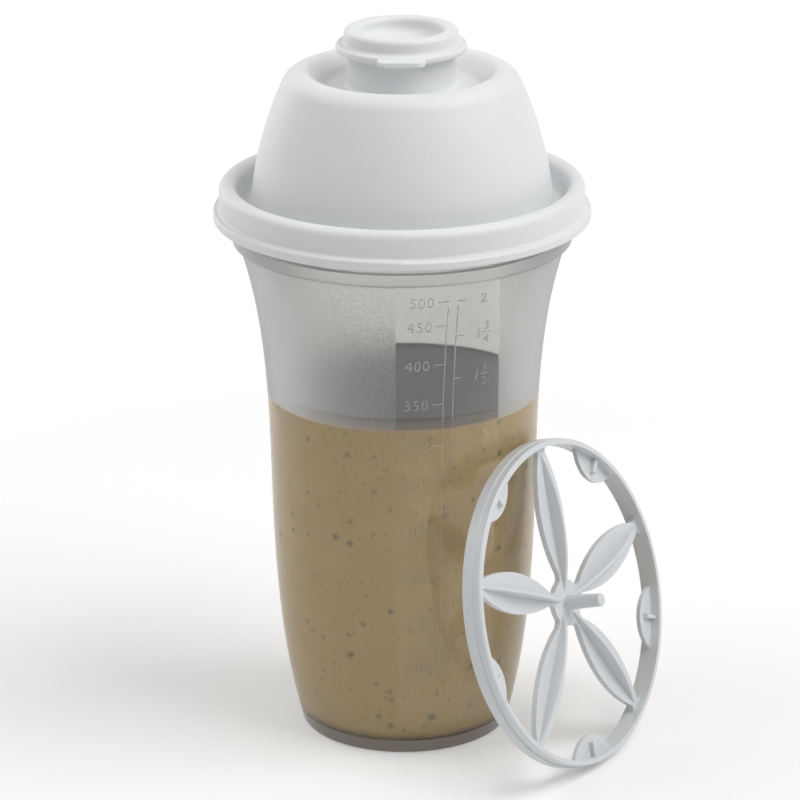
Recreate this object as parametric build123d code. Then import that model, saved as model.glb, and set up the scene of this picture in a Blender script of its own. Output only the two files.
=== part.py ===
from build123d import *
import math
import os

# Salad dressing shaker: a tapered cup, a push-on dome lid with a pouring neck,
# a lift-off pour cap, and a mixing wheel that stands beside the cup.
# Lengths are in millimetres and angles in degrees. Z is up. The origin is on the
# cup's axis at the surface it stands on, and the front faces -Y.

# Mixing wheel ring: it drops into the cup's collar, so it sets the width of the cup and lid
wheel_radius = 44.6
wheel_thickness = 5.65
wheel_wall = 1.8
wheel_step = 0.3
wheel_wide_band = 3.2
wheel_edge_chamfer = 0.35

# Cup body: a tapered wall of nearly even thickness
base_radius = 28.5
body_height = 139.0
cup_wall = 1.5
# The wall's curve from base to collar, as (share of height, share of radius growth)
body_curve_shares = [(0.163, 0.293), (0.443, 0.478), (0.734, 0.567), (0.890, 0.750)]

# Cup floor: raised on a foot ring
floor_height = 3.4
foot_recess_depth = 1.2
foot_ring_width = 3.6
foot_edge_round = 0.8
recess_round = 0.5
floor_corner_round = 4.0

# Cup collar: the pocket that holds the mixing wheel in use, with a ledge under it
wheel_clearance = 0.25
collar_wall = 0.85
collar_step = 1.5
collar_edge_round = 0.3
ledge_rise = 3.3

# Cup rim: flared above the collar, it fills the lid's channel
mouth_step = 1.25
rim_wall = 1.25
rim_edge_round = 0.5
flare_drop = 2.45
seat_gap = 0.3

# Lid ring: a channel that grips the rim, with a lip to push it off by
lid_wall = 1.6
ring_wall = 1.5
lip_rise = 6.2
ring_height = 9.8
ring_round = 2.2
lip_thickness = 2.6
lip_overhang = 1.65
lip_top_round = 0.7
lip_bottom_round = 0.4
lip_root_round = 0.8
channel_round = 0.3
plug_clearance = 0.3
skirt_clearance = 0.25

# Lid dome: rises from a valley inside the ring to a rounded shoulder
wheel_hold_gap = 0.25
valley_width = 3.7
valley_round = 1.1
dome_rise = 30.5
dome_shoulder_share = 0.746
dome_bulge = 1.73
dome_land = 0.17
shoulder_round = 5.2
# How far the inside of a corner of the dome moves in, as a share of the wall
shoulder_inset_share = 0.65

# Lid moat and neck: the neck stands in a shallow dish on top of the dome
moat_run = 4.6
moat_depth = 4.2
moat_round = 2.6
neck_base_share = 0.357
neck_taper = 0.3
neck_wall = 1.5
neck_height = 14.0
neck_root_round = 1.0
neck_rim_round = 0.5

# Pour cap: a double wall over the neck, a flange and a thumb tab
cap_clearance = 0.2
cap_wall = 0.85
cap_top_thickness = 1.3
cap_skirt_depth = 4.8
cap_plug_wall = 1.2
cap_plug_depth = 6.5
cap_dish_depth = 4.5
cap_dish_floor = 1.2
cap_flange_reach = 3.3
cap_flange_thickness = 2.2
cap_flange_round = 0.9
cap_rim_round = 1.3
cap_dish_round = 2.4
tab_width = 12.6
tab_reach = 3.2
tab_thickness = 1.5
tab_corner_round = 2.4
tab_edge_round = 0.4

# Wheel petals: flat leaves, each with a tall rib that is highest at its middle
petal_count = 5
petal_low = 1.85
petal_thickness = 1.6
petal_hub_gap = 1.9
petal_ring_gap = 1.7
petal_half_width = 5.5
petal_neck_half_width = 1.6
petal_web_round = 1.5
petal_rib_hub_inset = 3.3
petal_rib_ring_gap = 1.4
petal_rib_height = 3.4
petal_rib_root_half_width = 0.95
petal_rib_top_half_width = 0.5
petal_rib_top_round = 0.35

# Wheel hub and its pin
hub_radius = 6.3
pin_root_radius = 2.15
pin_tip_radius = 1.75
pin_reach = 9.0
pin_tip_chamfer = 0.3
pin_root_round = 0.5

# Wheel tabs: half-round ears between the petals, each with a small rib
ear_radius = 10.0
ear_reach = 6.0
ear_low = 1.8
ear_high = 3.0
ear_rib_width = 1.2
ear_rib_height = 1.4
ear_rib_length = 4.1
ear_edge_round = 0.35

# Where the wheel stands: it leans with its top edge against the cup
wheel_facing_angle = 57.1
wheel_lean_angle = 15.9
wheel_spin_angle = 83.5
lean_gap = 0.3
stand_gap = 0.3

# One overrun for every cut, and the closeness that finds an edge
overrun = 1.0
near = 0.01

# Widths that follow, from the wheel outwards through the collar and rim to the lid's ring
collar_pocket_radius = wheel_radius + wheel_clearance
collar_radius = collar_pocket_radius + collar_wall
body_top_radius = collar_radius - collar_step
mouth_radius = collar_pocket_radius + mouth_step
rim_outer_radius = mouth_radius + rim_wall
ring_radius = rim_outer_radius + skirt_clearance + ring_wall
lip_radius = ring_radius + lip_overhang
plug_radius = mouth_radius - plug_clearance
ring_inner_radius = plug_radius - ring_wall

# Heights that follow, from the body upwards: the lid's valley holds the wheel on its ledge
ledge_height = body_height + ledge_rise
wheel_seat_top = ledge_height + wheel_thickness
lip_bottom_height = body_height + lip_rise
ring_top_height = lip_bottom_height + ring_height
channel_top_height = ring_top_height - lid_wall
rim_top_height = channel_top_height - seat_gap
valley_underside_height = wheel_seat_top + wheel_hold_gap
valley_floor_height = valley_underside_height + ring_wall
dome_top_height = ring_top_height + dome_rise
moat_floor_height = dome_top_height - moat_depth
neck_top_height = moat_floor_height + neck_height

# Widths that follow on top of the lid: the rounds at the shoulder leave a narrow land
dome_foot_radius = ring_inner_radius - valley_width
dome_shoulder_radius = dome_foot_radius * dome_shoulder_share
dome_slope = math.atan2(dome_top_height - valley_floor_height, dome_foot_radius - dome_shoulder_radius)
moat_slope = math.atan2(moat_depth, moat_run)
rounds_run = shoulder_round * math.tan(dome_slope / 2) + moat_round * math.tan(moat_slope / 2)
moat_edge_radius = dome_shoulder_radius - rounds_run - dome_land
moat_floor_radius = moat_edge_radius - moat_run
neck_base_radius = dome_foot_radius * neck_base_share
neck_radius = neck_base_radius - neck_taper
bore_radius = neck_radius - neck_wall

# Cap sizes that follow from the neck
cap_top_height = neck_top_height + cap_clearance + cap_top_thickness
cap_plug_radius = bore_radius - cap_clearance
cap_dish_radius = cap_plug_radius - cap_plug_wall
cap_skirt_radius = neck_radius + cap_clearance
cap_flange_radius = neck_radius + cap_flange_reach
cap_flange_low = neck_top_height + cap_clearance - cap_skirt_depth

# Wheel sizes that follow from its ring and hub
wheel_inner_radius = wheel_radius - wheel_wall
wheel_middle_radius = wheel_inner_radius + wheel_wall / 2
hub_top = petal_low + petal_thickness
petal_step_angle = 360 / petal_count
petal_start_radius = hub_radius + petal_hub_gap
petal_end_radius = wheel_inner_radius - petal_ring_gap
petal_middle_radius = (petal_start_radius + petal_end_radius) / 2
petal_rib_start_radius = hub_radius - petal_rib_hub_inset
petal_rib_end_radius = wheel_inner_radius - petal_rib_ring_gap


def turned(corners, rounds):
    """Turn a closed outline of (radius, height) corners, some of them rounded, about Z."""
    outline = make_face(Polyline(*corners, close=True))
    return turned_face(outline, rounds)


def turned_face(outline, rounds):
    """Turn a flat face about Z after rounding the corners nearest the given points."""
    for corner, radius in rounds:
        vertex = outline.vertices().sort_by_distance(corner)[0]
        outline = fillet(vertex, radius)
    return revolve(Plane.XZ * outline, Axis.Z)


def circles_at(part, height):
    """The circular edges of a part that lie level at one height, smallest first."""
    circles = part.edges().filter_by(GeomType.CIRCLE)
    level = [edge for edge in circles if abs(edge.arc_center.Z - height) < near]
    return ShapeList(level).sort_by(SortBy.RADIUS)


def body_wall(inset):
    """The cup's wall curve from base to collar, moved inward by an inset."""
    growth = body_top_radius - base_radius
    points = [(base_radius - inset, 0)]
    for height_share, growth_share in body_curve_shares:
        points.append((base_radius - inset + growth_share * growth, height_share * body_height))
    points.append((body_top_radius - inset, body_height))
    return Spline(*points)


def body_radius_at(height):
    """The cup's outer radius at a height, found by halving along its wall curve."""
    wall = body_wall(0)
    low = 0.0
    high = 1.0
    while high - low > near / body_height:
        middle = (low + high) / 2
        if (wall @ middle).Y < height:
            low = middle
        else:
            high = middle
    return (wall @ low).X


def cup_outside():
    """The cup's outer form, from the foot to the top of the rim."""
    wall = body_wall(0)
    flare_start = wheel_seat_top - flare_drop
    flare = rim_outer_radius - collar_radius
    rest = Polyline(
        (body_top_radius, body_height),
        (collar_radius, body_height),
        (collar_radius, flare_start),
        (rim_outer_radius, flare_start + flare),
        (rim_outer_radius, rim_top_height),
        (0, rim_top_height),
        (0, 0),
        (base_radius, 0),
    )
    return turned_face(make_face([wall, *rest.edges()]), [])


def cup_inside():
    """The cup's hollow, with the ledge and pocket that seat the mixing wheel."""
    wall = body_wall(cup_wall)
    flare_start = wheel_seat_top - mouth_step
    rest = Polyline(
        (body_top_radius - cup_wall, body_height),
        (body_top_radius - cup_wall, ledge_height),
        (collar_pocket_radius, ledge_height),
        (collar_pocket_radius, flare_start),
        (mouth_radius, wheel_seat_top),
        (mouth_radius, rim_top_height + overrun),
        (0, rim_top_height + overrun),
        (0, 0),
        (base_radius - cup_wall, 0),
    )
    below_floor = Rectangle(rim_outer_radius, floor_height, align=Align.MIN)
    outline = make_face([wall, *rest.edges()]) - below_floor
    return turned_face(outline, [((base_radius, floor_height), floor_corner_round)])


def make_cup():
    """The cup: a tapered wall, a foot ring, a wheel pocket and a flared rim."""
    cup = cup_outside() - cup_inside()
    recess_radius = base_radius - foot_ring_width
    recess = Cylinder(recess_radius, foot_recess_depth, align=(Align.CENTER, Align.CENTER, Align.MIN))
    recess = fillet(circles_at(recess, foot_recess_depth), recess_round)
    cup = cup - recess
    cup = fillet(circles_at(cup, 0)[-1], foot_edge_round)
    cup = fillet(circles_at(cup, rim_top_height), rim_edge_round)
    collar_edge = circles_at(cup, body_height)[-1]
    return fillet(collar_edge, collar_edge_round)


def dome_outline(foot_radius, foot_height, shoulder_radius, top_height):
    """One side of the dome wall, a shallow outward arc from its foot to its shoulder."""
    foot = (foot_radius, foot_height)
    shoulder = (shoulder_radius, top_height)
    return SagittaArc(foot, shoulder, -dome_bulge)


def lid_outside():
    """The lid's outer form: lip, ring, valley, dome, moat and neck."""
    dome = dome_outline(dome_foot_radius, valley_floor_height, dome_shoulder_radius, dome_top_height)
    lip_top_height = lip_bottom_height + lip_thickness
    lower = Polyline(
        (0, lip_bottom_height),
        (lip_radius, lip_bottom_height),
        (lip_radius, lip_top_height),
        (ring_radius, lip_top_height),
        (ring_radius, ring_top_height),
        (ring_inner_radius, ring_top_height),
        (ring_inner_radius, valley_floor_height),
        (dome_foot_radius, valley_floor_height),
    )
    upper = Polyline(
        (dome_shoulder_radius, dome_top_height),
        (moat_edge_radius, dome_top_height),
        (moat_floor_radius, moat_floor_height),
        (neck_base_radius, moat_floor_height),
        (neck_radius, neck_top_height),
        (0, neck_top_height),
        (0, lip_bottom_height),
    )
    rounds = [
        ((lip_radius, lip_bottom_height), lip_bottom_round),
        ((lip_radius, lip_top_height), lip_top_round),
        ((ring_radius, lip_top_height), lip_root_round),
        ((ring_radius, ring_top_height), ring_round),
        ((ring_inner_radius, ring_top_height), ring_round),
        ((ring_inner_radius, valley_floor_height), valley_round),
        ((dome_foot_radius, valley_floor_height), valley_round),
        ((dome_shoulder_radius, dome_top_height), shoulder_round),
        ((moat_edge_radius, dome_top_height), moat_round),
        ((moat_floor_radius, moat_floor_height), moat_round),
        ((neck_base_radius, moat_floor_height), neck_root_round),
        ((neck_radius, neck_top_height), neck_rim_round),
    ]
    return turned_face(make_face([*lower.edges(), dome, *upper.edges()]), rounds)


def lid_inside():
    """Everything hollow in the lid: skirt, rim channel, dome and the neck's bore."""
    inner_foot = dome_foot_radius - lid_wall
    inner_shoulder = dome_shoulder_radius - lid_wall * shoulder_inset_share
    inner_top = dome_top_height - lid_wall
    moat_shift = lid_wall * math.tan(moat_slope / 2)
    dome = dome_outline(inner_foot, valley_underside_height, inner_shoulder, inner_top)
    skirt_inner_radius = ring_radius - ring_wall
    lower = Polyline(
        (0, lip_bottom_height - overrun),
        (skirt_inner_radius, lip_bottom_height - overrun),
        (skirt_inner_radius, channel_top_height),
        (plug_radius, channel_top_height),
        (plug_radius, valley_underside_height),
        (inner_foot, valley_underside_height),
    )
    upper = Polyline(
        (inner_shoulder, inner_top),
        (moat_edge_radius + moat_shift, inner_top),
        (moat_floor_radius + moat_shift, moat_floor_height - lid_wall),
        (bore_radius, moat_floor_height - lid_wall),
        (bore_radius, neck_top_height + overrun),
        (0, neck_top_height + overrun),
        (0, lip_bottom_height - overrun),
    )
    rounds = [
        ((skirt_inner_radius, channel_top_height), channel_round),
        ((plug_radius, channel_top_height), channel_round),
        ((inner_foot, valley_underside_height), channel_round),
        ((inner_shoulder, inner_top), shoulder_round - lid_wall),
        ((moat_edge_radius + moat_shift, inner_top), moat_round - lid_wall),
        ((moat_floor_radius + moat_shift, moat_floor_height - lid_wall), moat_round),
    ]
    return turned_face(make_face([*lower.edges(), dome, *upper.edges()]), rounds)


def make_lid():
    """The lid: one thin moulding from the lip over the ring and dome to the neck."""
    lid = lid_outside() - lid_inside()
    neck_rim = circles_at(lid, neck_top_height)[0]
    return fillet(neck_rim, neck_rim_round)


def make_pour_cap():
    """The pour cap: a double wall over the neck's rim, a dish, a flange and a thumb tab."""
    channel_top = neck_top_height + cap_clearance
    wall_radius = cap_skirt_radius + cap_wall
    flange_top = cap_flange_low + cap_flange_thickness
    dish_height = cap_top_height - cap_dish_depth
    plug_low = channel_top - cap_plug_depth
    corners = [
        (cap_skirt_radius, cap_flange_low),
        (cap_flange_radius, cap_flange_low),
        (cap_flange_radius, flange_top),
        (wall_radius, flange_top),
        (wall_radius, cap_top_height),
        (cap_dish_radius, cap_top_height),
        (cap_dish_radius, dish_height),
        (0, dish_height),
        (0, dish_height - cap_dish_floor),
        (cap_dish_radius, dish_height - cap_dish_floor),
        (cap_dish_radius, plug_low),
        (cap_plug_radius, plug_low),
        (cap_plug_radius, channel_top),
        (cap_skirt_radius, channel_top),
    ]
    rounds = [
        ((cap_flange_radius, cap_flange_low), cap_flange_round),
        ((cap_flange_radius, flange_top), cap_flange_round),
        ((wall_radius, flange_top), cap_flange_round),
        ((wall_radius, cap_top_height), cap_rim_round),
        ((cap_dish_radius, cap_top_height), cap_rim_round),
        ((cap_dish_radius, dish_height), cap_dish_round),
    ]
    return turned(corners, rounds) + thumb_tab()


def thumb_tab():
    """A flat tab that stands out of the front of the cap's flange."""
    tab_start = (cap_skirt_radius + cap_flange_radius) / 2
    tab_end = cap_flange_radius + tab_reach
    tab_low = cap_flange_low + (cap_flange_thickness - tab_thickness) / 2
    tab = Pos(0, -tab_start, tab_low) * Box(
        tab_width, tab_end - tab_start, tab_thickness, align=(Align.CENTER, Align.MAX, Align.MIN)
    )
    front_corners = tab.edges().filter_by(Axis.Z).sort_by(Axis.Y)[:2]
    tab = fillet(front_corners, tab_corner_round)
    return fillet(tab.faces().sort_by(Axis.Y)[0].edges().filter_by(Axis.X), tab_edge_round)


def wheel_ring():
    """The wheel's ring: a thin wall with a wide back band and a narrower front band."""
    front_radius = wheel_radius - wheel_step
    corners = [
        (wheel_inner_radius, 0),
        (wheel_radius - wheel_edge_chamfer, 0),
        (wheel_radius, wheel_edge_chamfer),
        (wheel_radius, wheel_wide_band),
        (front_radius, wheel_wide_band),
        (front_radius, wheel_thickness - wheel_edge_chamfer),
        (front_radius - wheel_edge_chamfer, wheel_thickness),
        (wheel_inner_radius, wheel_thickness),
    ]
    return turned(corners, [])


def leaf_outline():
    """One petal seen flat: two arcs between narrow necks, along +X."""
    edges = []
    for side in (1, -1):
        neck = side * petal_neck_half_width
        start = (petal_start_radius, neck)
        middle = (petal_middle_radius, side * petal_half_width)
        end = (petal_end_radius, neck)
        edges.append(Line((0, neck), start))
        edges.append(ThreePointArc(start, middle, end))
        edges.append(Line(end, (wheel_middle_radius, neck)))
    for radius in (0, wheel_middle_radius):
        edges.append(Line((radius, petal_neck_half_width), (radius, -petal_neck_half_width)))
    return make_face(edges)


def spider_blank():
    """The flat spider of hub and petals, joined to the ring by small rounded webs."""
    rim = Circle(wheel_middle_radius) - Circle(wheel_inner_radius)
    blank = rim + Circle(hub_radius)
    for index in range(petal_count):
        blank = blank + Rot(0, 0, index * petal_step_angle) * leaf_outline()
    inner_corners = [v for v in blank.vertices() if joins_round(v)]
    blank = fillet(inner_corners, petal_web_round)
    return Pos(0, 0, petal_low) * extrude(blank, petal_thickness)


def joins_round(vertex):
    """True for a corner where a petal's neck meets the hub or the ring's inner wall."""
    reach = math.hypot(vertex.X, vertex.Y)
    return abs(reach - hub_radius) < near or abs(reach - wheel_inner_radius) < near


def petal_rib():
    """The rib along the middle of one petal, a tapered section swept on a shallow arc."""
    half_length = (petal_rib_end_radius - petal_rib_start_radius) / 2
    arc_radius = (half_length ** 2 + petal_rib_height ** 2) / (2 * petal_rib_height)
    depth = petal_rib_height + petal_thickness / 2
    section = make_face(
        Polyline(
            (-petal_rib_root_half_width, -depth),
            (petal_rib_root_half_width, -depth),
            (petal_rib_top_half_width, 0),
            (-petal_rib_top_half_width, 0),
            close=True,
        )
    )
    top_corners = section.vertices().sort_by(Axis.Y)[-2:]
    section = fillet(top_corners, petal_rib_top_round)
    sweep_angle = 2 * math.degrees(math.asin(half_length / arc_radius))
    turn_axis = Axis((0, 0, -arc_radius), (0, 1, 0))
    upright = Plane.YZ * section
    rib = revolve(upright.rotate(turn_axis, -sweep_angle / 2), turn_axis, sweep_angle)
    rib = Pos(half_length + petal_rib_start_radius, 0, hub_top + petal_rib_height) * rib
    return split(rib, Plane.XY.offset(hub_top - petal_thickness / 2), keep=Keep.TOP)


def wheel_ear():
    """One half-round ear inside the ring along +X, with its small upright rib."""
    centre = wheel_inner_radius - ear_reach + ear_radius
    outline = Circle(wheel_middle_radius) & Pos(centre, 0) * Circle(ear_radius)
    ear = Pos(0, 0, ear_low) * extrude(outline, ear_high - ear_low)
    rib_start = wheel_inner_radius - ear_rib_length
    rib = Pos(rib_start, 0, ear_high - ear_edge_round) * Box(
        wheel_middle_radius - rib_start,
        ear_rib_width,
        ear_rib_height + ear_edge_round,
        align=(Align.MIN, Align.CENTER, Align.MIN),
    )
    top_edges = rib.faces().sort_by(Axis.Z)[-1].edges()
    rib = fillet(top_edges.sort_by(Axis.X)[:3], ear_edge_round)
    return ear + rib


def wheel_pin():
    """The short tapered pin that stands on the hub, with a rounded root."""
    length = wheel_thickness + pin_reach - hub_top
    low = hub_top - petal_thickness / 2
    corners = [
        (0, low),
        (hub_radius / 2, low),
        (hub_radius / 2, hub_top),
        (pin_root_radius, hub_top),
        (pin_tip_radius, hub_top + length - pin_tip_chamfer),
        (pin_tip_radius - pin_tip_chamfer, hub_top + length),
        (0, hub_top + length),
    ]
    return turned(corners, [((pin_root_radius, hub_top), pin_root_round)])


def wheel_place():
    """Where the wheel stands: on its lowest edge, its back leaning on the cup's wall."""
    lean = math.radians(wheel_lean_angle)
    facing = math.radians(wheel_facing_angle)
    back_height = stand_gap + wheel_radius * math.cos(lean)
    contact_height = back_height + wheel_radius * math.cos(lean)
    contact_distance = body_radius_at(contact_height) + lean_gap
    back_distance = contact_distance + wheel_radius * math.sin(lean)
    outward = Vector(math.sin(facing), -math.cos(facing), 0)
    sideways = Vector(math.cos(facing), math.sin(facing), 0)
    centre = outward * back_distance + Vector(0, 0, back_height)
    normal = outward * math.cos(lean) + Vector(0, 0, math.sin(lean))
    return Plane(origin=centre, x_dir=sideways, z_dir=normal)


def make_mixing_wheel():
    """The mixing wheel: ring, hub with its pin, five ribbed petals and five ears."""
    wheel = spider_blank() + wheel_ring() + wheel_pin()
    for index in range(petal_count):
        petal_angle = index * petal_step_angle
        ear_angle = petal_angle + petal_step_angle / 2
        wheel = wheel + Rot(0, 0, petal_angle) * petal_rib()
        wheel = wheel + Rot(0, 0, ear_angle) * wheel_ear()
    return wheel_place() * Rot(0, 0, wheel_spin_angle) * wheel


makers = {
    "cup": make_cup,
    "lid": make_lid,
    "pour_cap": make_pour_cap,
    "mixing_wheel": make_mixing_wheel,
}

os.makedirs("parts", exist_ok=True)
for name, maker in makers.items():
    export_step(maker(), f"parts/{name}.step")
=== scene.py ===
# %% [markdown]
# # Salad dressing shaker
# A tapered, frosted cup holds the dressing. A white dome lid with a pouring neck and a small
# cap closes it, and a loose mixing wheel leans against its side.
# The four moulded pieces come from the CAD model, which fixes their shape and place. This
# script adds what the CAD model leaves out: the dressing inside the cup, the raised measuring
# scale on its wall, every plastic's finish, the light and the camera.

# %% Load the CAD model
import bpy
import bmesh
import math
from mathutils import Matrix, Vector


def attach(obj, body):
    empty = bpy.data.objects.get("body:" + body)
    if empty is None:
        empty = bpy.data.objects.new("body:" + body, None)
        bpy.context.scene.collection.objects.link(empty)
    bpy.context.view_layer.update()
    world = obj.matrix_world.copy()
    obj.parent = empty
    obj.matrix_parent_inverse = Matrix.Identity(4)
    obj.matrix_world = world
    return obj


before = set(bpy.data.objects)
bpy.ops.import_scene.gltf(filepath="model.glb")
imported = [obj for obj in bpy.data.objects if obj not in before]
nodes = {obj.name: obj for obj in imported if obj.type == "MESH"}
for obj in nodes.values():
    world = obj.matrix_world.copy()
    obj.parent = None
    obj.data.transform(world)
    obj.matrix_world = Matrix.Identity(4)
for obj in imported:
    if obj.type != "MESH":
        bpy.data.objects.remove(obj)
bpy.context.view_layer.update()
scene = bpy.context.scene
MM = 0.001
print("pieces from CAD:", sorted(nodes))

# %% [markdown]
# ## The camera
# The picture was taken from a little above the shaker with a long lens, so upright walls stay
# almost parallel. The camera's place was worked out from the round rims: how flat each ellipse
# looks gives the downward tilt. A focal length of 180 mm on a 36 mm sensor gives the same
# narrow view.

# %% Place the camera
TILT = math.radians(19.53)
ROLL = math.radians(-0.354)
DISTANCE = 1091.7 * MM
AIM = Vector((-0.9, 0, 92.33)) * MM
FOCAL_LENGTH = 180
SENSOR_WIDTH = 36

forward = Vector((0, math.cos(TILT), -math.sin(TILT)))
level_up = Vector((1, 0, 0)).cross(forward)
right = Vector((1, 0, 0)) * math.cos(ROLL) + level_up * math.sin(ROLL)
up = right.cross(forward)
facing = Matrix((right, up, -forward)).transposed().to_4x4()
camera = bpy.data.objects.new("camera", bpy.data.cameras.new("camera"))
scene.collection.objects.link(camera)
camera.matrix_world = Matrix.Translation(AIM - forward * DISTANCE) @ facing
camera.data.lens = FOCAL_LENGTH
camera.data.sensor_width = SENSOR_WIDTH
scene.camera = camera
scene.view_settings.view_transform = "Standard"
print("camera at", [round(v, 3) for v in camera.location])

# %% [markdown]
# ## Small helpers for materials
# Colours are written as the hex values that a paint program shows. Blender works in linear
# light, so one function turns them. Another adds a node, sets its values and joins its inputs,
# which keeps each material below short enough to read as a recipe.

# %% Colour and node helpers
def linear(hex_colour):
    """An sRGB hex colour, such as "#E8E9E8", as Blender's linear red, green, blue and alpha."""
    parts = [int(hex_colour[i:i + 2], 16) / 255 for i in (1, 3, 5)]
    return [p / 12.92 if p <= 0.04045 else ((p + 0.055) / 1.055) ** 2.4 for p in parts] + [1.0]


def add_node(tree, kind, inputs=None, **options):
    """A new node. Each input is a value, a socket, or a node, which gives its first output."""
    node = tree.nodes.new("ShaderNode" + kind)
    for name, value in options.items():
        setattr(node, name, value)
    for name, value in (inputs or {}).items():
        if isinstance(value, bpy.types.Node):
            value = value.outputs[0]
        if isinstance(value, bpy.types.NodeSocket):
            tree.links.new(value, node.inputs[name])
        else:
            node.inputs[name].default_value = value
    return node


def new_material(name):
    """An empty material, its node tree and its output node."""
    material = bpy.data.materials.new(name)
    material.use_nodes = True
    tree = material.node_tree
    tree.nodes.clear()
    return material, tree, tree.nodes.new("ShaderNodeOutputMaterial")


print("white plastic in linear light:", [round(v, 3) for v in linear("#E8E9E8")])

# %% [markdown]
# ## Floor, backdrop and light
# The shaker stands on a white table that runs into a white background. The floor is a plain
# white diffuse sheet, so that it takes soft shadows. Where the camera looks at it, a little
# emission is added, and more of it further away. That lifts the open floor to pure white and
# leaves the shadows grey. Rays that the cup mirrors or lets through see the same white.
# A ray that has already bounced off a matt surface gathers light instead. The dressing is lit
# through the cup's wall, and without this rule it would take the white background for its
# light and turn far too pale.

# %% White floor
FLOOR_REACH = 6.0
NEAR_LIFT, FAR_LIFT = 0.17, 0.75
LIFT_START, LIFT_END = 0.25, 1.60


def background_rays(tree):
    """A node that is 1 for rays that show the background: camera, glossy and transmitted.

    A ray that has bounced off a matt surface gathers light instead, also when it then passes
    through the cup's wall, so it gets 0.
    """
    path = add_node(tree, "LightPath").outputs
    shown = path["Is Camera Ray"]
    for ray in ("Is Glossy Ray", "Is Transmission Ray"):
        shown = add_node(tree, "Math", {0: shown, 1: path[ray]}, operation="MAXIMUM")
    direct = add_node(tree, "Math", {0: path["Diffuse Depth"], 1: 0.5}, operation="LESS_THAN")
    return add_node(tree, "Math", {0: shown, 1: direct}, operation="MULTIPLY")


mesh = bmesh.new()
bmesh.ops.create_grid(mesh, x_segments=1, y_segments=1, size=FLOOR_REACH)
floor = bpy.data.objects.new("floor", bpy.data.meshes.new("floor"))
mesh.to_mesh(floor.data)
mesh.free()
scene.collection.objects.link(floor)

table_white, tree, out = new_material("matt_white_table")
sheet = add_node(tree, "BsdfDiffuse", {"Color": linear("#F2F2F2")})
place = add_node(tree, "TexCoord").outputs["Object"]
from_shaker = add_node(tree, "VectorMath", {0: place}, operation="LENGTH").outputs["Value"]
amount = add_node(tree, "MapRange", {
    "Value": from_shaker, "From Min": LIFT_START, "From Max": LIFT_END,
    "To Min": NEAR_LIFT, "To Max": FAR_LIFT,
})
strength = add_node(tree, "Math", {0: background_rays(tree), 1: amount}, operation="MULTIPLY")
lift = add_node(tree, "Emission", {"Strength": strength})
both = add_node(tree, "AddShader", {0: sheet, 1: lift})
tree.links.new(both.outputs[0], out.inputs["Surface"])
floor.data.materials.append(table_white)
print("floor lift for the camera:", NEAR_LIFT, "near,", FAR_LIFT, "far")

# %% [markdown]
# The room around the table is pale as well. The background rays see it at full strength. As
# light it is much weaker, because a bright world would fill every hollow of the lid and the
# wheel and take their shapes away.

# %% Pale surroundings
AMBIENT = 0.39
world = bpy.data.worlds.new("white_room")
scene.world = world
world.use_nodes = True
tree = world.node_tree
tree.nodes.clear()
strength = add_node(tree, "MapRange", {
    "Value": background_rays(tree), "To Min": AMBIENT, "To Max": 1.0,
})
room = add_node(tree, "Background", {"Strength": strength})
add_node(tree, "OutputWorld", {"Surface": room})
print("ambient light:", AMBIENT)

# %% [markdown]
# The key light is a big soft box high on the right: the tops of the rims and the right faces
# are brightest, and a broad, pale shadow falls to the left. A weaker one high on the left
# fills that shadow, and a third, low behind on the left, draws the pale edge that the dome
# and the cup have on that side. Their strengths were found by rendering each lamp alone and
# asking which mixture gives the white lid the shades it has in the picture.

# %% Soft boxes
LAMP_AIM = Vector((0, 0, 90)) * MM
LAMP_DISTANCE = 1.3
# Each lamp's name, the direction that it stands in, its side in metres and its watts.
LAMPS = [
    ("key_light", (0.60, -0.20, 0.80), 1.05, 11.4),
    ("left_light", (-0.60, 0.0, 0.80), 0.8, 4.2),
    ("back_light", (-0.70, 0.70, 0.30), 0.8, 3.6),
]

for name, direction, side, watts in LAMPS:
    lamp = bpy.data.objects.new(name, bpy.data.lights.new(name, "AREA"))
    lamp.data.size = side
    lamp.data.energy = watts
    away = Vector(direction).normalized()
    lamp.location = LAMP_AIM + away * LAMP_DISTANCE
    lamp.rotation_euler = away.to_track_quat("Z", "Y").to_euler()
    scene.collection.objects.link(lamp)

# %% [markdown]
# ## White polyethylene: the lid and its cap
# The lid and cap are injection moulded in soft white polyethylene. The mould was spark eroded,
# which leaves a very fine even grain and a matt skin with no sharp reflections. The plastic is
# slightly cool and lets a little light in, so its edges never look hard.
# The grain is about 0.15 mm on the real lid, too fine for the picture, so it is drawn at
# 0.45 mm. A broad, faint change of colour, about 28 mm wide, keeps the large dome from looking
# like paint. The mixing wheel is much like it, so one function makes both whites.

# %% A matt white moulding
TONE_MM = 28
# A Mix node has sockets for several kinds of data; these are the numbers of its colours.
UNDER, OVER, MIXED = 6, 7, 2


def per_mm(size):
    """The Scale of a pattern whose repeats are this many millimetres apart."""
    return 1 / (size * MM)


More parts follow.
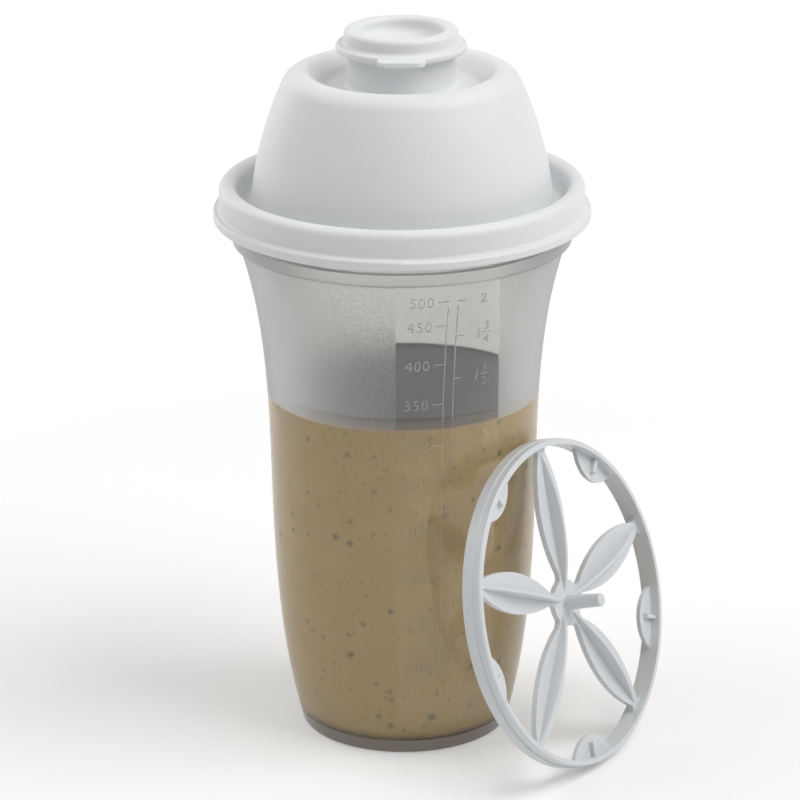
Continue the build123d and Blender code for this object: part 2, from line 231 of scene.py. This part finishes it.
def moulded_white(name, colour, shade, grain_mm, roughness, depth_mm):
    """A matt white moulding: grain from the mould's skin and a faint, broad change of colour."""
    material, tree, out = new_material(name)
    place = add_node(tree, "TexCoord").outputs["Object"]
    broad = add_node(tree, "TexNoise", {"Vector": place, "Scale": per_mm(TONE_MM), "Detail": 2.0})
    tone = add_node(tree, "Mix", {
        "Factor": broad, UNDER: linear(colour), OVER: linear(shade),
    }, data_type="RGBA")
    grain = add_node(tree, "TexNoise", {"Vector": place, "Scale": per_mm(grain_mm), "Detail": 3.0})
    rough = add_node(tree, "MapRange", {
        "Value": grain, "To Min": roughness - 0.05, "To Max": roughness + 0.07,
    })
    bump = add_node(tree, "Bump", {"Height": grain, "Strength": 0.35, "Distance": depth_mm * MM})
    skin = add_node(tree, "BsdfPrincipled", {
        "Base Color": tone.outputs[MIXED], "Roughness": rough, "Normal": bump, "IOR": 1.5,
        "Subsurface Weight": 0.12, "Subsurface Scale": 1.5 * MM,
        "Subsurface Radius": (1.0, 1.0, 1.0),
    })
    tree.links.new(skin.outputs[0], out.inputs["Surface"])
    return material


print("noise scale for a pattern of", TONE_MM, "mm:", round(per_mm(TONE_MM), 1))

# %% White polyethylene
polyethylene = moulded_white(
    "spark_textured_white_polyethylene", "#E9EAEB", "#E4E6E7",
    grain_mm=0.45, roughness=0.47, depth_mm=0.03,
)
for name in ("lid", "pour_cap"):
    nodes[name].data.materials.clear()
    nodes[name].data.materials.append(polyethylene)
print("lid and cap:", polyethylene.name)

# %% [markdown]
# ## White polypropylene: the mixing wheel
# The wheel is stiffer and thinner, so it is polypropylene, moulded in a smoother tool. It has
# a satin sheen with soft highlights along the ribs, and almost no grain. The little that it
# has is too fine to show, so it is drawn at 0.6 mm, and very shallow.

# %% White polypropylene
polypropylene = moulded_white(
    "satin_white_polypropylene", "#DBDEE0", "#D6D9DC",
    grain_mm=0.6, roughness=0.36, depth_mm=0.012,
)
wheel = nodes["mixing_wheel"]
wheel.data.materials.clear()
wheel.data.materials.append(polypropylene)
print("wheel:", polypropylene.name)

# %% [markdown]
# ## Frosted polypropylene: the cup
# The cup is natural polypropylene, milky and a little warm. Its mould is blasted, so the
# outside is frosted and blurs what lies behind it. One upright strip of the mould was left
# polished: there the wall is clear, and the scale can be read against the dressing.
# These could be separate materials on separate faces, but the wall is one moulding with one
# mesh, so one shader does both, and first it has to know where on the cup it is. The strip
# lies between two upright planes, so its sides look upright from the front. The cup's inside
# is smooth all round, and is found by its normals, which look at the axis.

# %% Where the wall is smooth
STRIP_LEFT, STRIP_RIGHT = -1.95 * MM, 25.2 * MM
STRIP_BOTTOM, STRIP_TOP = 8 * MM, 139.5 * MM
SIDE_EDGE, END_EDGE = 0.1 * MM, 1 * MM

frosted, tree, out = new_material("blasted_natural_polypropylene")
coordinates = add_node(tree, "TexCoord").outputs
place = coordinates["Object"]
across, along, height = add_node(tree, "SeparateXYZ", {"Vector": place}).outputs

# On the strip all of these are 1. Each rises from 0 to 1 as its value goes between two places.
strip = 1.0
for value, start, end in (
    (across, STRIP_LEFT - SIDE_EDGE, STRIP_LEFT + SIDE_EDGE),
    (across, STRIP_RIGHT + SIDE_EDGE, STRIP_RIGHT - SIDE_EDGE),
    (along, 0.0, -END_EDGE),
    (height, STRIP_BOTTOM, STRIP_BOTTOM + END_EDGE),
    (height, STRIP_TOP, STRIP_TOP - END_EDGE),
):
    mask = add_node(tree, "MapRange", {"Value": value, "From Min": start, "From Max": end})
    strip = add_node(tree, "Math", {0: strip, 1: mask}, operation="MULTIPLY")

# The place times the normal, added up without the height, is below 0 on the inside.
outward = add_node(
    tree, "VectorMath", {0: place, 1: coordinates["Normal"]}, operation="MULTIPLY",
)
outward_x, outward_y, _ = add_node(tree, "SeparateXYZ", {"Vector": outward}).outputs
level_out = add_node(tree, "Math", {0: outward_x, 1: outward_y}, operation="ADD")
inside = add_node(tree, "MapRange", {"Value": level_out, "From Min": MM, "From Max": -MM})
smooth = add_node(tree, "Math", {0: strip, 1: inside}, operation="MAXIMUM")
print("polished strip:", round((STRIP_RIGHT - STRIP_LEFT) / MM, 1), "mm wide from the front")

# %% [markdown]
# The frosting isn't the same everywhere. Right beside the strip it is thin, and the wall is
# almost clear and visibly grainy. Towards the cup's sides it grows milky, and at the back it
# is clearer again. By its height the wall is the solid base, the part that the dressing wets,
# the dry part above it, or the collar.

# %% Zones of the frosted wall
CLEAREST_ANGLE = math.radians(5)
BASE_TOP = 3.8 * MM
FILL = 96.6 * MM
COLLAR = 139 * MM

turned = add_node(tree, "Mapping", {"Vector": place, "Rotation": (0, 0, -CLEAREST_ANGLE)})
depth = add_node(tree, "SeparateXYZ", {"Vector": turned}).outputs["Y"]
off_centre = add_node(tree, "Math", {0: along}, operation="ABSOLUTE")
# Each zone's value, the place where it is 0 and the place where it is 1.
ZONES = {
    "base": (height, BASE_TOP + 0.2 * MM, BASE_TOP),
    "wet": (height, FILL + 0.3 * MM, FILL - 0.3 * MM),
    "collar": (height, COLLAR - 0.3 * MM, COLLAR),
    "shaded_sides": (off_centre, 25 * MM, 10 * MM),
    "from_front": (depth, -38 * MM, -12 * MM),
    "back": (depth, 14 * MM, 30 * MM),
}
zone = {}
for name, (value, start, end) in ZONES.items():
    zone[name] = add_node(tree, "MapRange", {"Value": value, "From Min": start, "From Max": end})
still_milky = add_node(tree, "MapRange", {"Value": zone["back"], "To Min": 1.0, "To Max": 0.3})
milky = add_node(tree, "Math", {0: zone["from_front"], 1: still_milky}, operation="MULTIPLY")
print("zones of the wall:", ", ".join(zone))

# %% [markdown]
# The blasted grain is about 0.3 mm. It is drawn at 0.7 mm so that it still shows, as small
# bumps in a wall of medium roughness. Where the dressing lies right behind the wall it hardly
# blurs, so there the bumps are weaker and nearly all light passes. Above the dressing the
# share that passes falls to a fifth at the sides, where the wall looks like milk glass.

# %% Grain, roughness and clearness
GRAIN_MM = 0.7
grain = add_node(tree, "TexNoise", {"Vector": place, "Scale": per_mm(GRAIN_MM), "Detail": 2.0})
strip_end = add_node(tree, "Math", {0: strip, 1: milky}, operation="MULTIPLY")
clear = add_node(tree, "MapRange", {"Value": strip_end, "To Min": 0.985, "To Max": 0.86})
# The dry wall near the strip and where it is milky, the wet wall in both, the smooth wall.
FINISHES = {
    "bumps": (1.0, 0.1, 0.25, 0.25, 0.02),
    "roughness": (0.28, 0.50, 0.24, 0.24, 0.05),
    "passing": (0.93, 0.22, 0.99, 0.96, clear),
}
finish = {}
for name, (dry_clear, dry_milky, wet_clear, wet_milky, polished) in FINISHES.items():
    dry = add_node(tree, "MapRange", {"Value": milky, "To Min": dry_clear, "To Max": dry_milky})
    moist = add_node(tree, "MapRange", {"Value": milky, "To Min": wet_clear, "To Max": wet_milky})
    blasted = add_node(tree, "MapRange", {"Value": zone["wet"], "To Min": dry, "To Max": moist})
    finish[name] = add_node(tree, "MapRange", {
        "Value": smooth, "To Min": blasted, "To Max": polished,
    })
bump = add_node(tree, "Bump", {
    "Height": grain, "Strength": finish["bumps"], "Distance": 0.07 * MM,
})
passing = add_node(tree, "MapRange", {
    "Value": zone["base"], "To Min": finish["passing"], "To Max": 0.45,
})
print("nodes in the wall so far:", len(tree.nodes))

# %% [markdown]
# The plastic itself is almost white. Beside the strip its grain shows as light and dark
# flecks, which fade further out. The milky sides are painted darker: painted shade that keeps
# the wall one grey right to its edges, where a plain shader turns bright. The collar is painted
# darker as the lid's shadow on it, and the thick base is denser plastic, painted a grey-brown
# shade from under the dressing. They are laid over one another like coats of paint.

# %% Colours of the wall
flecks = add_node(tree, "MapRange", {"Value": grain, "From Min": 0.40, "From Max": 0.60})
fading = add_node(tree, "MapRange", {"Value": milky, "From Max": 0.45})
# Painted shade: the milky wall is painted darker at the cup's left and right sides.
milk_glass_shaded_at_sides = add_node(tree, "Mix", {
    "Factor": zone["shaded_sides"], UNDER: linear("#F5F4F3"), OVER: linear("#C6C6C5"),
}, data_type="RGBA")
wetted = add_node(tree, "Mix", {
    "Factor": strip, UNDER: linear("#F3F2EF"), OVER: linear("#F9F8F6"),
}, data_type="RGBA")
colour = linear("#CFCECB")
for share, coat in (
    (flecks, linear("#EAE9E6")),
    (fading, linear("#DEDDDA")),
    (milky, milk_glass_shaded_at_sides.outputs[MIXED]),
    (strip, linear("#D1D0CE")),
    (zone["wet"], wetted.outputs[MIXED]),
    # Painted shadow of the lid, darker on the collar.
    (zone["collar"], linear("#D6D6D4")),
    # The thick base: denser plastic, and a grey-brown painted shade from under the dressing.
    (zone["base"], linear("#B0A79D")),
):
    coated = add_node(tree, "Mix", {"Factor": share, UNDER: colour, OVER: coat}, data_type="RGBA")
    colour = coated.outputs[MIXED]
wall = add_node(tree, "BsdfPrincipled", {
    "Base Color": colour, "Roughness": finish["roughness"], "Transmission Weight": passing,
    "Normal": bump, "IOR": 1.49,
})
tree.links.new(wall.outputs[0], out.inputs["Surface"])
cup = nodes["cup"]
cup.data.materials.clear()
cup.data.materials.append(frosted)
print("cup:", frosted.name, "with", len(tree.nodes), "nodes")

# %% [markdown]
# ## The dressing
# A thick, creamy dressing fills the cup to a little above its 300 mark. It is one turned body
# whose outline follows the cup's inner wall. The wall's radius could be copied from the CAD
# source, but here it is measured on the CAD cup with a ray at each height, so the dressing
# fits whatever the cup's shape is.

# %% Measure the cup's inner wall
def inner_radius(height):
    """The cup's inner radius at a height, measured by a ray from its axis."""
    return cup.ray_cast(Vector((0, 0, height)), Vector((0, -1, 0)))[1].xy.length


print("inner radius at the fill line:", round(inner_radius(FILL) / MM, 2), "mm")

# %% [markdown]
# The real dressing wets the plastic, with no air between them. A body that stopped a hair
# short of the wall would leave a gap that mirrors the light, so its surface lies 0.15 mm
# inside the wall. At the top it climbs the wall as a film that thins out upwards.

# %% Turn the dressing's outline
INNER_FLOOR = 3.4 * MM
OVERLAP = 0.15 * MM
WALL_POINTS = 60
SPIN_STEPS = 128
FILM_RISE = 3.4 * MM
# The film's section in mm: how far in from the wall, and how high above the fill line.
FILM_SHAPE = [(0.10, 3.3), (0.35, 2.0), (0.80, 0.9), (1.60, 0.25), (3.0, 0.0), (8.0, 0.0)]


def turned_about_axis(outline, steps):
    """A closed body from an outline of (radius, height) points, spun once about Z."""
    mesh = bmesh.new()
    points = [mesh.verts.new((radius, 0, height)) for radius, height in outline]
    edges = [mesh.edges.new(pair) for pair in zip(points, points[1:])]
    bmesh.ops.spin(
        mesh, geom=points + edges, cent=(0, 0, 0), axis=(0, 0, 1), dvec=(0, 0, 0),
        angle=2 * math.pi, steps=steps, use_merge=True, use_duplicate=False,
    )
    return mesh


outline = [
    (0, INNER_FLOOR - OVERLAP),
    (inner_radius(INNER_FLOOR + 0.05 * MM), INNER_FLOOR - OVERLAP),
]
for index in range(1, WALL_POINTS + 1):
    # The points stand closest together at the bottom, where the wall curves most.
    share = (index / WALL_POINTS) ** 1.5
    level = INNER_FLOOR + (FILL + FILM_RISE - INNER_FLOOR) * share
    outline.append((inner_radius(level) + OVERLAP, level))
wet_radius = inner_radius(FILL)
for inset, rise in FILM_SHAPE:
    outline.append((wet_radius - inset * MM, FILL + rise * MM))
outline.append((0, FILL))
liquid = turned_about_axis(outline, SPIN_STEPS)
print("outline points:", len(outline))

# %% [markdown]
# The film stands high at the front of the cup and low at its back. The spin made it equally
# high all round, so what lies above the fill line is lowered by how far back it is.

# %% Lower the film towards the back
HARDLY_ABOVE = 0.01 * MM
FILM_AT_BACK = 0.15
for vertex in liquid.verts:
    above = vertex.co.z - FILL
    if above > HARDLY_ABOVE:
        to_front = 0.5 - 0.5 * vertex.co.y / vertex.co.xy.length
        vertex.co.z = FILL + above * (FILM_AT_BACK + (1 - FILM_AT_BACK) * to_front)
highest = max(vertex.co.z for vertex in liquid.verts)
print("top of the film at the front:", round(highest / MM, 1), "mm")

# %% [markdown]
# A spin may leave points that lie on one another, and faces that look inwards. The doubles are
# merged first, because only then is the body closed and has an outside for its faces to look
# at. The same function finishes the scale later. Both pieces belong to the cup and ride on it.

# %% Finish the dressing's mesh
MERGE_DISTANCE = 1e-6


def piece_from(mesh, name, material):
    """A finished object from a bmesh: doubles merged, faces outwards, shaded smooth."""
    bmesh.ops.remove_doubles(mesh, verts=mesh.verts, dist=MERGE_DISTANCE)
    bmesh.ops.recalc_face_normals(mesh, faces=mesh.faces)
    made = bpy.data.objects.new(name, bpy.data.meshes.new(name))
    mesh.to_mesh(made.data)
    mesh.free()
    made.data.shade_smooth()
    made.data.materials.append(material)
    scene.collection.objects.link(made)
    return made


dressing_material, tree, out = new_material("creamy_dressing_with_herbs")
dressing = piece_from(liquid, "dressing", dressing_material)
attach(dressing, "cup")
print("dressing faces:", len(dressing.data.polygons))

# %% [markdown]
# The dressing is an emulsion: pale tan, opaque and slightly glossy. Chopped herbs, pepper and
# seeds float in it. They could be thousands of small pieces, but only those at the wall show,
# so they are spots of a cell pattern: each cell holds one flake whose size comes from the
# cell's random value, and in some cells it comes to nothing. A noise bends the spots, which
# makes them ragged. Herbs are up to 2.9 mm across and crumbs up to 1.5 mm, and both fade
# towards their edges, because a little of the liquid lies over them.

# %% Flakes of herbs and crumbs
RAGGED_MM = 0.9
BEND = 1.8 * MM
SOFTNESS = 0.42


def flakes(tree, place, spacing_mm, size_mm, share):
    """A node that is 1 on scattered ragged flakes, one in some of a pattern's cells."""
    cells = add_node(tree, "TexVoronoi", {"Vector": place, "Scale": per_mm(spacing_mm)})
    chance = add_node(tree, "SeparateXYZ", {"Vector": cells.outputs["Color"]})
    reach = add_node(tree, "MapRange", {
        "Value": chance, "From Min": 1 - share, "To Max": size_mm / spacing_mm / 2,
    })
    within = add_node(
        tree, "Math", {0: reach, 1: cells.outputs["Distance"]}, operation="SUBTRACT",
    )
    fade = SOFTNESS * size_mm / spacing_mm
    return add_node(tree, "MapRange", {"Value": within, "From Max": fade})


coordinates = add_node(tree, "TexCoord").outputs
place = coordinates["Object"]
ragged = add_node(tree, "TexNoise", {"Vector": place, "Scale": per_mm(RAGGED_MM), "Detail": 4.0})
shift = add_node(
    tree, "VectorMath", {0: ragged.outputs["Color"], 1: (0.5, 0.5, 0.5)}, operation="SUBTRACT",
)
small_shift = add_node(tree, "VectorMath", {0: shift, "Scale": BEND}, operation="SCALE")
bent = add_node(tree, "VectorMath", {0: place, 1: small_shift}, operation="ADD")
herbs = flakes(tree, bent, spacing_mm=3.6, size_mm=2.9, share=0.50)
crumbs = flakes(tree, bent, spacing_mm=1.7, size_mm=1.5, share=0.70)
print("nodes for the flakes:", len(tree.nodes))

# %% [markdown]
# The cream is slightly cloudy, in patches of about 9 mm. At the fill line runs a thin oily
# line, a little redder, and the film above it is greyer because the wall shows through it.
# The top lies in the shade of the lid, and through the strip it looks dark and neutral. So
# what faces upwards is painted a cool grey, as painted shade.

# %% Colours of the dressing
CLOUD_MM = 9
height = add_node(tree, "SeparateXYZ", {"Vector": place}).outputs["Z"]
upward = add_node(tree, "SeparateXYZ", {"Vector": coordinates["Normal"]}).outputs["Z"]
cloudy = add_node(tree, "TexNoise", {"Vector": place, "Scale": per_mm(CLOUD_MM), "Detail": 4.0})
oily = add_node(tree, "MapRange", {
    "Value": height, "From Min": FILL - 1.0 * MM, "From Max": FILL - 0.4 * MM,
})
film = add_node(tree, "MapRange", {
    "Value": height, "From Min": FILL - 0.1 * MM, "From Max": FILL + 0.3 * MM,
})
# Painted shade: what faces upwards is painted a cool grey, for the lid's shade on the top.
skin = add_node(tree, "MapRange", {"Value": upward, "From Min": 0.80, "From Max": 0.97})
colour = linear("#E9CF94")
for share, coat in (
    (cloudy, "#DDC187"), (crumbs, "#BEA674"), (herbs, "#8E7D5B"),
    (oily, "#EBCBA2"), (film, "#BDB6AB"), (skin, "#B9BBC1"),
):
    coated = add_node(tree, "Mix", {
        "Factor": share, UNDER: colour, OVER: linear(coat),
    }, data_type="RGBA")
    colour = coated.outputs[MIXED]
cream = add_node(tree, "BsdfPrincipled", {
    "Base Color": colour, "Roughness": 0.35, "IOR": 1.45, "Subsurface Weight": 0.15,
    "Subsurface Scale": 1.2 * MM, "Subsurface Radius": (1.0, 0.75, 0.45),
})
tree.links.new(cream.outputs[0], out.inputs["Surface"])
print("dressing:", dressing_material.name)

# %% [markdown]
# ## The measuring scale
# Two scales stand out of the polished strip as fine raised lines: millilitres on the left and
# cups on the right. They are moulded with the wall, so they are the same natural plastic, but
# their tops are matt and catch the light. Each mark is a thin bar or a number that is first
# made flat and then wrapped on the wall: its sideways place becomes an angle and its height
# stays, so the marks follow the taper. A bump in the wall's finish would be quicker, but it
# would leave no relief in the mesh.
# The outer wall is measured at every 2 mm of its height, and read between these places.

# %% Measure the cup's outer wall
OUTSIDE = 200 * MM
RADIUS_STEP = 2 * MM
RADIUS_COUNT = 69


def outer_radius(height):
    """The cup's outer radius at a height, measured by a ray from outside."""
    return cup.ray_cast(Vector((0, -OUTSIDE, height)), Vector((0, 1, 0)))[1].xy.length


def wall_radius(height):
    """The cup's outer radius at a height, read between the measured ones."""
    index = min(max(int((height - WALL_RADII[0][0]) / RADIUS_STEP), 0), RADIUS_COUNT - 2)
    (low, near), (high, far) = WALL_RADII[index], WALL_RADII[index + 1]
    return near + (far - near) * (height - low) / (high - low)


WALL_HEIGHTS = [step * RADIUS_STEP for step in range(1, RADIUS_COUNT + 1)]
WALL_RADII = [(height, outer_radius(height)) for height in WALL_HEIGHTS]
print("wall radius at 100 mm:", round(wall_radius(100 * MM) / MM, 2), "mm")

# %% [markdown]
# A mark stands 0.16 mm out of the wall and reaches 0.06 mm into it, so that no gap opens under
# it where the wall curves. It is cut into short lengths, because only its points are moved.

# %% Raised bars and how they are wrapped
SCALE_ANGLE = math.radians(18.2)
RELIEF = 0.16 * MM
ROOT = 0.06 * MM
LINE_WIDTH = 0.28 * MM


def wrap(mesh):
    """Moves flat marks, drawn in X and Z with their thickness in Y, onto the cup's wall."""
    for vertex in mesh.verts:
        aside, out_of_wall, height = vertex.co
        radius = wall_radius(height)
        angle = SCALE_ANGLE + aside / radius
        reach = radius - out_of_wall
        vertex.co = (reach * math.sin(angle), -reach * math.cos(angle), height)


def bar(mesh, left, right, low, high, pieces):
    """Adds a flat raised bar, cut into short lengths so that it can follow the wall."""
    made = bmesh.ops.create_cube(mesh, size=1.0)["verts"]
    middle = Vector(((left + right) / 2, (ROOT - RELIEF) / 2, (low + high) / 2))
    bmesh.ops.scale(mesh, vec=(right - left, RELIEF + ROOT, high - low), verts=made)
    bmesh.ops.translate(mesh, vec=middle, verts=made)
    along = Vector((1, 0, 0)) if right - left > high - low else Vector((0, 0, 1))
    edges = {edge for vertex in made for edge in vertex.link_edges}
    long_edges = [
        edge for edge in edges
        if abs((edge.verts[0].co - edge.verts[1].co).dot(along)) > LINE_WIDTH * 1.5
    ]
    bmesh.ops.subdivide_edges(mesh, edges=long_edges, cuts=pieces, use_grid_fill=True)


print("a mark is", round((RELIEF + ROOT) / MM, 2), "mm thick")

# %% [markdown]
# The cup widens towards the top, so equal volumes stand closer together there, and the marks
# can't be evenly spaced. Their heights were measured in the picture.

# %% Marks and their heights
ML_HEIGHTS = {
    50: 27.2, 100: 40.9, 150: 54.4, 200: 67.8, 250: 80.9,
    300: 92.2, 350: 104.0, 400: 115.4, 450: 126.7, 500: 133.9,
}
# A reading in cups is its whole number, and its fraction's top and bottom.
CUP_HEIGHTS = {
    ("", "1", "4"): 30.6, ("", "1", "2"): 47.8, ("", "3", "4"): 64.6, ("1", "", ""): 80.8,
    ("1", "1", "4"): 95.6, ("1", "1", "2"): 111.1, ("1", "3", "4"): 123.3, ("2", "", ""): 133.8,
}
LINE_PLACE = 1.35 * MM
LINE_LOW, LINE_HIGH = 24 * MM, 132.4 * MM
ML_TICK, CUP_TICK = 3.0 * MM, 2.2 * MM
HALF = LINE_WIDTH / 2

ruler = bmesh.new()
for middle in (-LINE_PLACE, LINE_PLACE):
    bar(ruler, middle - HALF, middle + HALF, LINE_LOW, LINE_HIGH, pieces=60)
for height in ML_HEIGHTS.values():
    level = height * MM
    bar(ruler, -LINE_PLACE - ML_TICK, -LINE_PLACE, level - HALF, level + HALF, pieces=4)
for height in CUP_HEIGHTS.values():
    level = height * MM
    bar(ruler, LINE_PLACE, LINE_PLACE + CUP_TICK, level - HALF, level + HALF, pieces=3)
print("bars:", 2 + len(ML_HEIGHTS) + len(CUP_HEIGHTS))

# %% [markdown]
# The numbers are text curves, given a thickness and turned into meshes. A bar could be bent
# out of any box, but digits have curves that a font already draws well. Their strokes are made
# a little thinner and their spacing a little wider than the font's, as engraved digits are.

# %% Raised digits
DIGIT_SHARE = 0.73  # a digit's height as a share of the font's size
THINNING = 0.012
DIGIT_SPACING = 1.08


def number(mesh, words, height, place, level, align="CENTER"):
    """Adds raised digits to a mesh: their height, the place they line up on, their middle."""
    text = bpy.data.curves.new("digits", "FONT")
    text.body = words
    text.size = height / DIGIT_SHARE
    text.align_x = align
    text.extrude = (RELIEF + ROOT) / 2
    text.offset = -THINNING * height
    text.space_character = DIGIT_SPACING
    text.resolution_u = 3
    holder = bpy.data.objects.new("digits", text)
    scene.collection.objects.link(holder)
    evaluated = holder.evaluated_get(bpy.context.evaluated_depsgraph_get())
    flat = bpy.data.meshes.new_from_object(evaluated)
    bpy.data.objects.remove(holder)
    moved = Matrix.Translation((place, (ROOT - RELIEF) / 2, level - height / 2))
    flat.transform(moved @ Matrix.Rotation(math.pi / 2, 4, "X"))
    mesh.from_mesh(flat)
    bpy.data.meshes.remove(flat)


print("a digit's stroke is thinned by", THINNING, "of its height")

# %% [markdown]
# The millilitres end just left of their lines. The cups stand further right, a whole number
# and then its fraction as it is written by hand, with the top over a bar over the bottom. When
# all the marks are made, they are wrapped on the wall together.

# %% Number the marks
DIGIT_HEIGHT, SMALL_DIGIT_HEIGHT = 3.1 * MM, 2.4 * MM
ML_GAP = 0.9 * MM
WHOLE_PLACE, LONE_WHOLE_PLACE, FRACTION_PLACE = 8.0 * MM, 8.6 * MM, 10.4 * MM
FRACTION_RISE = 1.9 * MM
FRACTION_LEFT, FRACTION_RIGHT = 9.3 * MM, 11.5 * MM

for amount, height in ML_HEIGHTS.items():
    end = -LINE_PLACE - ML_TICK - ML_GAP
    number(ruler, str(amount), DIGIT_HEIGHT, end, height * MM, align="RIGHT")
for (whole, top, bottom), height in CUP_HEIGHTS.items():
    level = height * MM
    if whole:
        number(ruler, whole, DIGIT_HEIGHT, WHOLE_PLACE if top else LONE_WHOLE_PLACE, level)
    if top:
        number(ruler, top, SMALL_DIGIT_HEIGHT, FRACTION_PLACE, level + FRACTION_RISE)
        bar(ruler, FRACTION_LEFT, FRACTION_RIGHT, level - HALF, level + HALF, pieces=2)
        number(ruler, bottom, SMALL_DIGIT_HEIGHT, FRACTION_PLACE, level - FRACTION_RISE)
wrap(ruler)
print("faces of the scale:", len(ruler.faces))

# %% [markdown]
# The relief's tops are a little matt, because the fine engraving in the mould can't be
# polished. Above the dressing they scatter more light than the clear strip behind them: over
# a dark background they look pale, and over a bright one a little darker. In front of the
# dressing the real ones almost vanish, so there they are smoother and nearly all light passes.

# %% Finish of the relief
RELIEF_GRAIN_MM = 0.3
relief, tree, out = new_material("engraved_natural_polypropylene")
place = add_node(tree, "TexCoord").outputs["Object"]
height = add_node(tree, "SeparateXYZ", {"Vector": place}).outputs["Z"]
grain = add_node(tree, "TexNoise", {
    "Vector": place, "Scale": per_mm(RELIEF_GRAIN_MM), "Detail": 2.0,
})
dry = add_node(tree, "MapRange", {"Value": height, "From Min": FILL, "From Max": FILL + 4 * MM})
least = add_node(tree, "MapRange", {"Value": dry, "To Min": 0.10, "To Max": 0.29})
most = add_node(tree, "MapRange", {"Value": dry, "To Min": 0.22, "To Max": 0.42})
rough = add_node(tree, "MapRange", {"Value": grain, "To Min": least, "To Max": most})
passing = add_node(tree, "MapRange", {"Value": dry, "To Min": 0.99, "To Max": 0.80})
edge = add_node(tree, "BsdfPrincipled", {
    "Base Color": linear("#FAFAF8"), "Roughness": rough, "Transmission Weight": passing,
    "IOR": 1.49,
})
tree.links.new(edge.outputs[0], out.inputs["Surface"])
scale_marks = piece_from(ruler, "measuring_scale", relief)
for polygon in scale_marks.data.polygons:
    polygon.use_smooth = False
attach(scale_marks, "cup")
print("scale triangles:", sum(len(p.vertices) - 2 for p in scale_marks.data.polygons))
